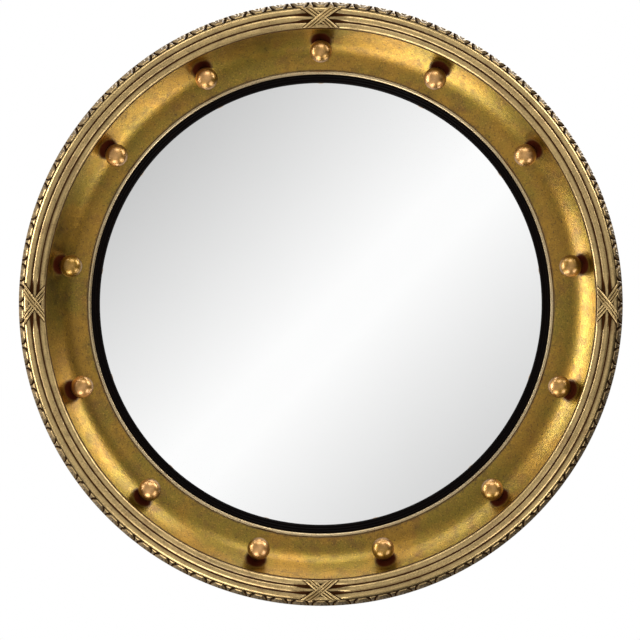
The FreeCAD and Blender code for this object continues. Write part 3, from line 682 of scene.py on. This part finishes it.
class MIRROR_OT_hollow(bpy.types.Operator):
    """Turn the deep gilt hollow with the thin bead at its inner edge"""
    bl_idname = "mirror.hollow"
    bl_label = "Gilt hollow"

    def execute(self, context):
        start, steps = 3.0, 15
        outer = [on_hollow(HOLLOW_BEND)]
        step = (HOLLOW_EDGE - outer[0][0]) / steps
        for n in range(1, steps + 1):
            slope = math.tan(math.radians(HOLLOW_BEND + 10 * n / steps))
            outer.append((outer[-1][0] + step, outer[-1][1] + step * slope))
        rebate, glued = SLIP_FLANGE[0] + 0.2, HOLLOW_EDGE + 0.1
        corners = [(rebate, 25.0), (rebate, GILT_BACK), (glued, GILT_BACK), (glued, 53.47),
                   (HOLLOW_EDGE, 53.3), (HOLLOW_EDGE, outer[-1][1] + 0.5)]
        # Recess values darken the hollow where it meets the rim, at its outer edge and beside the
        # bead: painted shade in these corners, along with toning.
        recess = [1.0, 1.0, 1.0, 0.7, 0.7, 0.8]
        corners += outer[::-1]
        recess += [max(0.0, 0.55 * (1 - k / 2)) for k in range(steps + 1)]
        angles = np.linspace(HOLLOW_BEND, start, 28)[1:]
        corners += [on_hollow(a) for a in angles]
        recess += [max(0.0, 0.55 * (1 - (a - start) / 5)) for a in angles]
        corners += bulge(on_hollow(start), (BEAD_EDGE, 28.0), 1.62, -1, 12)
        recess += [0.75 * abs(k / 6 - 1) ** 3 for k in range(1, 13)]
        corners += [(BEAD_EDGE, 25.0), (rebate, 25.0)]
        recess += [1.0, 1.0]
        look = finish()
        piece = turned("gilt_hollow", corners, 960,
                       gilding("gilt_hollow", tuple(look.leaf), tuple(look.leaf_green),
                               (0.27, 0.43), rub=0.45, relief=0.5, specks=0.75, coat=0.38,
                               gloss=0.3, varnish=1.6, deepest=(0.045, 0.008, 0.003),
                               pale_within=0.1863), recess)
        # Painted shadows and reflections of the balls, in the hollow's deepest red-brown.
        self.shade_round_balls(piece)
        settle(piece, "cavetto_ring", slot="gilt")
        return {"FINISHED"}

    @staticmethod
    def shade_round_balls(piece):
        """Painted shadow and reflection of each ball: the hollow is darkened just outward of each
        ball's foot.
        """
        spots = points_of(piece)
        radius, depth = ball_centre()
        radius, depth = radius + 5.2 * MM, depth - 1.8 * MM
        nearest = np.full(len(spots), 9.0)
        for turn in ball_angles():
            centre = np.array((radius * math.sin(turn), -depth, radius * math.cos(turn)))
            nearest = np.minimum(nearest, np.linalg.norm(spots - centre, axis=1))
        gap, reach = (nearest - sizes().ball_radius) / MM, 4.6
        layer = piece.data.attributes["recess"].data
        recess = np.zeros(len(spots), np.float32)
        layer.foreach_get("value", recess)
        # Painted shadow, darkest against the ball and gone a few millimetres out from it.
        painted_shadow = 0.85 * np.clip(1 - (gap + 0.3) / reach, 0, 1) ** 1.2
        layer.foreach_set("value", np.maximum(recess, painted_shadow).astype(np.float32))


class MIRROR_OT_balls(bpy.types.Operator):
    """Turn the balls on their necks and peg them into the hollow"""
    bl_idname = "mirror.balls"
    bl_label = "Gilt balls"

    def execute(self, context):
        size, look = sizes(), finish()
        ball, neck = size.ball_radius / MM, size.ball_neck / MM
        meet = math.asin(neck / ball)
        sweep = np.linspace(0.0, math.pi - meet, 34)
        corners = [(ball * math.sin(t), ball * math.cos(t)) for t in sweep]
        # Recess darkens the underside of each ball towards its neck, and the neck itself: painted
        # shade.
        recess = [float(max(0.0, (t - 2.2) / 0.5)) for t in sweep]
        foot = -(ball + 1.25)
        corners += run(corners[-1], (neck, foot + 0.35), 3) + [(neck + 0.5, foot), (0.0, foot)]
        recess += [1.0] * 5
        finish_of_balls = gilding("gilt_balls", tuple(look.leaf_warm), tuple(look.leaf),
                                  (0.34, 0.44), rub=0.4, coat=0.6,
                                  relief=0.2, specks=0.3, varnish=1.6)
        radius, depth = ball_centre()
        for number, turn in enumerate(ball_angles(), start=1):
            piece = turned(f"gilt_ball_{number:02d}", corners, 56, finish_of_balls, recess,
                           tilt=size.ball_seat, seat=(0.0, -depth, radius), turn=turn, sharp=50)
            settle(piece, f"ball_{number:02d}", slot="gilt_balls")
        return {"FINISHED"}


def rim_section(gaps, floor_reach):
    """The rim's section with its three reeds, and how deep in a groove each point lies. Each gap
    between reeds runs from one angle to another, floor_reach from the rim's centre."""
    first, last = (on_rim(side, RIM_GROOVE) for side in RIM_SIDES)
    starts = (first, *(on_rim(gap[1], floor_reach) for gap in gaps))
    ends = (*(on_rim(gap[0], floor_reach) for gap in gaps), last)
    inside = first[0]
    corners, recess = [(inside, GILT_BACK), (inside, 45.0)], [1.0, 1.0]
    for start, end in zip(starts, ends):
        swell = max(REED, math.dist(start, end) / 2 + 0.02)
        corners += [start] + bulge(start, end, swell, +1, 16)
        outside = 0.3 if end is last else 1.0
        # Recess darkens the grooves between the reeds: painted shade there, along with toning.
        recess += [1.0] + [abs(k / 8 - 1) ** 1.7 * (outside if k > 8 else 1.0)
                           for k in range(1, 17)]
    corners += [(237.4, 39.0), (237.4, 36.5)] + bulge((237.4, 36.5), (232.0, 31.1), 5.4, -1, 8)
    corners += [(232.0, GILT_BACK), (inside, GILT_BACK)]
    recess += [1.0, 0.5] + [0.3] * 8 + [0.5, 1.0]
    return corners, recess


class MIRROR_OT_rim(bpy.types.Operator):
    """Turn the reeded rim; the reeds draw in where the ribbons bind them"""
    bl_idname = "mirror.rim"
    bl_label = "Reeded rim"

    def execute(self, context):
        look = finish()
        corners, recess = rim_section(((-10.1, -9.3), (9.3, 10.1)), RIM_GROOVE - 0.3)
        bound, bound_recess = rim_section(((-13.2, -5.0), (5.0, 13.2)), 15.6)
        reeds = gilding("gilt_reeds", tuple(look.leaf_pale), darker(look.leaf_pale, 0.85),
                        (0.30, 0.42), rub=0.45, relief=0.35, specks=0.55,
                        deepest=(0.050, 0.017, 0.005))
        piece = turned("reeded_rim_gilt", corners, 1080, reeds, recess, bound, bound_recess,
                       sizes().ribbon_count, (0.048, 0.105), sharp=40)
        settle(piece, "reeded_rim", slot="gilt_reeds")
        return {"FINISHED"}


def strap(lean, lowered):
    """One ribbon strap over the reeds, at the top of the ring: points, faces and recesses.
    It leans to one side, has three ridges, and is lowered where the other strap crosses it."""
    top = sizes().ribbon_rise / MM
    along, across = 44, 26
    half_width, slope = 5.0, 1.25
    first, last = -8.6, 9.4         # along the rim's section, from its foremost point
    bend = 19.5                     # distance from the rim's centre at which those are measured
    w = np.linspace(-1, 1, across + 1)

    def spot(t, sideways, reach):
        s = (slope * lean * t + sideways) / RIM_CENTRE[0]
        r = RIM_CENTRE[0] + reach * math.sin(t / bend)
        return r * math.sin(s), -(RIM_CENTRE[1] + reach * math.cos(t / bend)), r * math.cos(s)

    ridge = np.abs(np.cos(1.5 * math.pi * w)) ** 0.75
    ridge[0] = ridge[-1] = 0.0
    points, recess = [], []
    for t in np.linspace(first, last, along + 1):
        near_end = min(t - first, last - t)
        dive = max(0.0, 1 - near_end / 1.6) ** 2
        under = lowered * math.exp(-((t / 5.2) ** 4))
        for place, rise in zip(w, ridge):
            reach = top - 1.35 + 1.35 * rise - under - 2.2 * dive
            points.append(spot(t, place * half_width, reach))
            # Recess darkens between the ridges, where the ends dive and under the crossing strap:
            # painted shade.
            recess.append(min(1.0, 0.95 * (1 - rise) + 0.3 * dive + 0.35 * under))
        for place in (1.0, -1.0):
            points.append(spot(t, place * (half_width + 0.25), 16.6))
            recess.append(1.0)
    loop = across + 3
    faces = []
    for row in range(along):
        for k in range(loop):
            a, b = row * loop + k, row * loop + (k + 1) % loop
            faces.append((a, b, b + loop, a + loop))
    faces.append(tuple(range(loop))[::-1])
    faces.append(tuple(along * loop + k for k in range(loop)))
    return [tuple(c * MM for c in p) for p in points], faces, recess


class MIRROR_OT_ribbons(bpy.types.Operator):
    """Cross two ridged straps over the reeds at each quarter of the rim"""
    bl_idname = "mirror.ribbons"
    bl_label = "Crossed ribbons"

    def execute(self, context):
        look, count = finish(), sizes().ribbon_count
        gilt = gilding("gilt_ribbons", tuple(look.leaf_pale), darker(look.leaf_pale, 0.85),
                       (0.32, 0.45), rub=0.4, relief=0.3, specks=0.5)
        for number, place in enumerate(("top", "right", "bottom", "left")):
            points, faces, recess = [], [], []
            for lean, lowered in ((1, 0.0), (-1, 0.6)):
                some, shapes, deep = strap(lean, lowered)
                faces += [tuple(k + len(points) for k in face) for face in shapes]
                points += some
                recess += deep
            unit = loose("ribbon_unit", points, [], faces, recess)
            piece = repeated(f"ribbon_{place}", unit, count, 1, number * FULL_TURN / count,
                             gilt, sharp=50)
            settle(piece, f"ribbon_tie_{place}", slot="gilt_ribbons")
        return {"FINISHED"}


def leaf_relief(x, y):
    """Height and painted shade, both from 0 to 1, of one repeat of the edge, at millimetres along
    (0 is the middle) and down from the reeds: two drops that lean together beside a tongue, and
    a shallow fan of two nicks between neighbours. The painted shade of the pits runs on
    over the foot."""
    along = np.abs(x)
    wide = np.interp(y, (0.0, 3.0, 12.5), (1.7, 2.1, 1.2))
    drop = np.clip(1 - ((along - (3.4 - 0.17 * (y - 2))) / wide) ** 2, 0, 1) ** 0.55
    fan = np.clip(1 - ((LEAF_HALF - along - 0.24 * np.clip(y - 3, 0, 12)) / 0.8) ** 2, 0, 1) ** 0.55
    fan = 0.6 * fan * np.clip((y - 3.5) / 2, 0, 1)
    ends = np.clip((12.6 - y) / 0.8, 0, 1) * np.clip(0.35 + y / 1.5, 0, 1)
    # Painted shade of the drops and nicks, carried past the cut and down over the foot.
    pit_shade = np.maximum(drop * (y < 13.8), fan * ends * np.clip((12 - y) / 4, 0, 1))
    foot = 0.92 * np.clip((y - 12.0) / 1.2, 0, 1)
    height = np.maximum(1 - np.maximum(drop * ends, fan * ends), foot)
    return height * np.clip(0.7 + y / 1.2, 0, 1), pit_shade


class MIRROR_OT_leaf_edge(bpy.types.Operator):
    """Set the leaf-and-dart edge round the outside of the rim"""
    bl_idname = "mirror.leaf_edge"
    bl_label = "Leaf edge"

    def execute(self, context):
        look, size = finish(), sizes()
        columns, rows = 32, 18
        widest = size.outer_radius / MM - 0.1
        lip, root = (236.6, 53.2), (235.8, 53.1)
        face = np.array([lip] + bulge(lip, (widest, 38.4), 24.7, +1, rows - 1)
                        + [(239.2, 37.2)])
        floor = np.array([root] + run(root, (237.62, 38.9), rows - 1) + [(237.62, 37.2)])
        x = np.linspace(-LEAF_HALF, LEAF_HALF, columns + 1)
        y = np.append(np.linspace(0, 15.2, rows), 15.9)
        height, pit_shade = leaf_relief(*np.meshgrid(x, y))
        points, recess = [], []
        half = math.pi / size.leaf_count
        for column, share in enumerate(np.linspace(-half, half, columns + 1)):
            spots = floor + (face - floor) * (0.06 + 0.94 * height[:, column])[:, None]
            spots = np.vstack([spots, [(237.6, 37.2), (237.6, 39.0), (235.77, 53.08)]])
            points += [(r * math.sin(share) * MM, -d * MM, r * math.cos(share) * MM)
                       for r, d in spots]
            recess += [*pit_shade[:, column], 1.0, 1.0, 1.0]
        loop = rows + 4
        faces = [(c * loop + k, c * loop + (k + 1) % loop, (c + 1) * loop + (k + 1) % loop,
                  (c + 1) * loop + k) for c in range(columns) for k in range(loop)]
        dusty = darker(look.leaf_pale, (0.98, 0.96, 1.0))
        gilt = gilding("gilt_leaf_edge", dusty, darker(dusty, 0.8), (0.32, 0.46),
                       rub=0.4, relief=0.3, deepest=(0.018, 0.008, 0.003))
        unit = loose("leaf_unit", points, [], faces, recess)
        piece = repeated("leaf_edge", unit, size.leaf_count, size.leaf_count, half, gilt, sharp=60)
        settle(piece, "leaf_edge_band", slot="gilt_leaf_edge")
        return {"FINISHED"}


def dress(names, look):
    """Gives carried-over nodes a finish."""
    for name in names:
        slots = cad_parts[name].data.materials
        slots.clear()
        slots.append(look)


class MIRROR_OT_back(bpy.types.Operator):
    """Finish the wood, felt and cork behind the gilding"""
    bl_idname = "mirror.back"
    bl_label = "Carcass and backboard"

    def execute(self, context):
        pine = tuple(finish().pine)
        dress(["carcass_ring"], wood("carcass_pine", pine, segments=8))
        dress(["back_ring"], wood("back_ring_pine", darker(pine, 0.94), segments=6))
        dress(["backboard"], wood("backboard_pine", darker(pine, 0.9), plank=0.131))
        dress(["retaining_ring", "ball_dowels"], wood("inner_pine", pine, plank=0.5))
        dress(["packing_ring"], soft("felt", (0.045, 0.045, 0.038), (0.10, 0.10, 0.085), 900, 0.5))
        dress(["cork_blocks"], soft("cork", (0.36, 0.22, 0.11), (0.12, 0.06, 0.03), 420, 0.6))
        return {"FINISHED"}


class MIRROR_OT_fittings(bpy.types.Operator):
    """Finish the turn buttons, hangers and screws"""
    bl_idname = "mirror.fittings"
    bl_label = "Brass and steel fittings"

    def execute(self, context):
        brass = metal("dull_brass", (0.62, 0.43, 0.17), (0.22, 0.13, 0.05), (0.26, 0.5))
        steel = metal("screw_steel", (0.46, 0.45, 0.43), (0.16, 0.13, 0.11), (0.3, 0.55), 160.0)
        dress([f"turn_button_{n}" for n in range(1, 7)], brass)
        dress(["hanger_strap_left", "hanger_strap_right", "d_ring_left", "d_ring_right"], brass)
        dress(["turn_button_screws", "hanger_screws"], steel)
        return {"FINISHED"}


# ---------- stage ----------

FRONTAL_WIDTH = 0.50895         # metres across the picture, at the rim's depth
PICTURE_WIDTH = 640             # pixels, for the camera's small shift
CAMERA_SHIFT = (-0.8, -16.1)    # pixels
CAMERA_DISTANCE = 8.0
SENSOR = 36.0                   # millimetres
FLOOR_RADIUS, FLOOR_HEIGHT = 6, -1.45

# name, degrees off the mirror's axis, degrees clockwise from the top, distance, width, height,
# watts
LAMPS = (
    ("key_left", 85, 276, 1.6, 0.4, 1.4, 34),
    ("upper_right", 84, 52, 1.6, 0.45, 1.1, 19),
    ("upper_left", 84, 330, 1.6, 0.45, 0.6, 6),
    ("low_right", 68, 134, 1.6, 0.6, 0.8, 9),
    ("top_front", 60, 5, 1.6, 0.9, 0.5, 8),
    ("low_front", 70, 204, 1.5, 1.0, 0.6, 14),
    ("back_soft", 155, 20, 2.4, 1.4, 1.4, 24),
)


def lamp(name, off, spin, distance, wide, tall, power):
    """A soft panel that looks at the mirror's middle."""
    light = bpy.data.lights.new(name, "AREA")
    light.shape = "RECTANGLE"
    light.size, light.size_y = wide, tall
    light.energy = power
    item = linked(name, light)
    off, spin = math.radians(off), math.radians(spin)
    away = Vector((math.sin(off) * math.sin(spin), -math.cos(off), math.sin(off) * math.cos(spin)))
    item.location = away * distance
    item.rotation_euler = away.to_track_quat("Z", "Y").to_euler()


class MIRROR_OT_stage(bpy.types.Operator):
    """Set the floor, the studio light and the camera"""
    bl_idname = "mirror.stage"
    bl_label = "Floor, light and camera"

    def execute(self, context):
        self.floor()
        self.world()
        for row in LAMPS:
            lamp(*row)
        self.camera(context)
        context.scene.view_settings.view_transform = "Standard"
        return {"FINISHED"}

    @staticmethod
    def floor():
        """A pale disc below the mirror. The mirror doesn't show it."""
        turns = np.linspace(0, FULL_TURN, 96, endpoint=False)
        mesh = bpy.data.meshes.new("floor")
        mesh.from_pydata([(FLOOR_RADIUS * math.cos(t), FLOOR_RADIUS * math.sin(t), FLOOR_HEIGHT)
                          for t in turns], [], [tuple(range(len(turns)))])
        item = linked("floor", mesh)
        made, net, surface, place = material("floor_pale")
        grain = net.noise(place, 6.0, 3.0)
        feed(net, surface, Roughness=0.95, Specular_IOR_Level=0.1,
             Base_Color=net.mix(net.between(grain, 0.3, 0.7), (0.93,) * 3, (0.95,) * 3))
        mesh.materials.append(made)
        item.visible_glossy = False

    @staticmethod
    def world():
        """White behind everything. What lights and shows in the mirror is a white band across
        the room in front, which fades to both sides, and a dimmer room around it."""
        world = bpy.data.worlds.new("studio")
        bpy.context.scene.world = world
        world.use_nodes = True
        net = Net(world.node_tree)
        rays = net.add("ShaderNodeLightPath").outputs
        way = net.add("ShaderNodeSeparateXYZ", {0: net.out("ShaderNodeTexCoord",
                                                           output="Generated")}).outputs
        slant = net.math("MULTIPLY", net.math("SUBTRACT", way[0], way[2]), 0.7071)
        off = net.math("ABSOLUTE", net.math("SUBTRACT", slant, 0.061))
        band = net.between(off, 0.056, 0.875, 1.03, 0.40)
        around = net.math("MULTIPLY_ADD", way[0], -0.22, 0.25)
        around = net.math("MULTIPLY_ADD", way[2], 0.13, around)
        ahead = net.between(way[1], -0.58, -0.78, smooth=True)
        level = net.math("ADD", net.math("MULTIPLY", band, ahead),
                         net.math("MULTIPLY", around, net.math("SUBTRACT", 1.0, ahead)))
        room = net.out("ShaderNodeBackground", {"Color": (1, 1, 1, 1), "Strength": level})
        white = net.out("ShaderNodeBackground", {"Color": (1, 1, 1, 1), "Strength": 1.0})
        seen = net.math("MAXIMUM", rays["Is Camera Ray"], rays["Is Transmission Ray"])
        net.add("ShaderNodeOutputWorld",
                {"Surface": net.out("ShaderNodeMixShader", {0: seen, 1: room, 2: white})})

    @staticmethod
    def camera(context):
        """A long lens straight in front, shifted a little to frame the mirror as photographed."""
        data = bpy.data.cameras.new("camera")
        data.sensor_width = SENSOR
        data.lens = SENSOR * CAMERA_DISTANCE / FRONTAL_WIDTH
        data.clip_end = 60.0
        item = linked("camera", data)
        across, up = (shift * FRONTAL_WIDTH / PICTURE_WIDTH for shift in CAMERA_SHIFT)
        item.location = (across, -CAMERA_DISTANCE - 0.038, up)
        item.rotation_euler = (math.pi / 2, 0.0, 0.0)
        context.scene.camera = item


# ---------- add-on ----------

PIECES = (MIRROR_OT_plate, MIRROR_OT_slip, MIRROR_OT_hollow, MIRROR_OT_balls, MIRROR_OT_rim,
          MIRROR_OT_ribbons, MIRROR_OT_leaf_edge, MIRROR_OT_back, MIRROR_OT_fittings,
          MIRROR_OT_stage)


class MIRROR_PT_pieces(bpy.types.Panel):
    """Sizes, colours and one button per piece"""
    bl_idname = "MIRROR_PT_pieces"
    bl_label = "Convex mirror"
    bl_space_type = "VIEW_3D"
    bl_region_type = "UI"
    bl_category = "Mirror"

    def draw(self, context):
        for group in (context.scene.mirror_sizes, context.scene.mirror_finish):
            box = self.layout.box()
            for name in group.__annotations__:
                box.prop(group, name)
        for piece in PIECES:
            self.layout.operator(piece.bl_idname)


CLASSES = (MirrorSizes, MirrorFinish, *PIECES, MIRROR_PT_pieces)


def register():
    for item in CLASSES:
        bpy.utils.register_class(item)
    bpy.types.Scene.mirror_sizes = PointerProperty(type=MirrorSizes)
    bpy.types.Scene.mirror_finish = PointerProperty(type=MirrorFinish)


def unregister():
    del bpy.types.Scene.mirror_finish
    del bpy.types.Scene.mirror_sizes
    for item in reversed(CLASSES):
        bpy.utils.unregister_class(item)


def main():
    """Registers the add-on and builds every piece."""
    register()
    for piece in PIECES:
        group, name = piece.bl_idname.split(".")
        getattr(getattr(bpy.ops, group), name)()


if __name__ == "__main__":
    main()
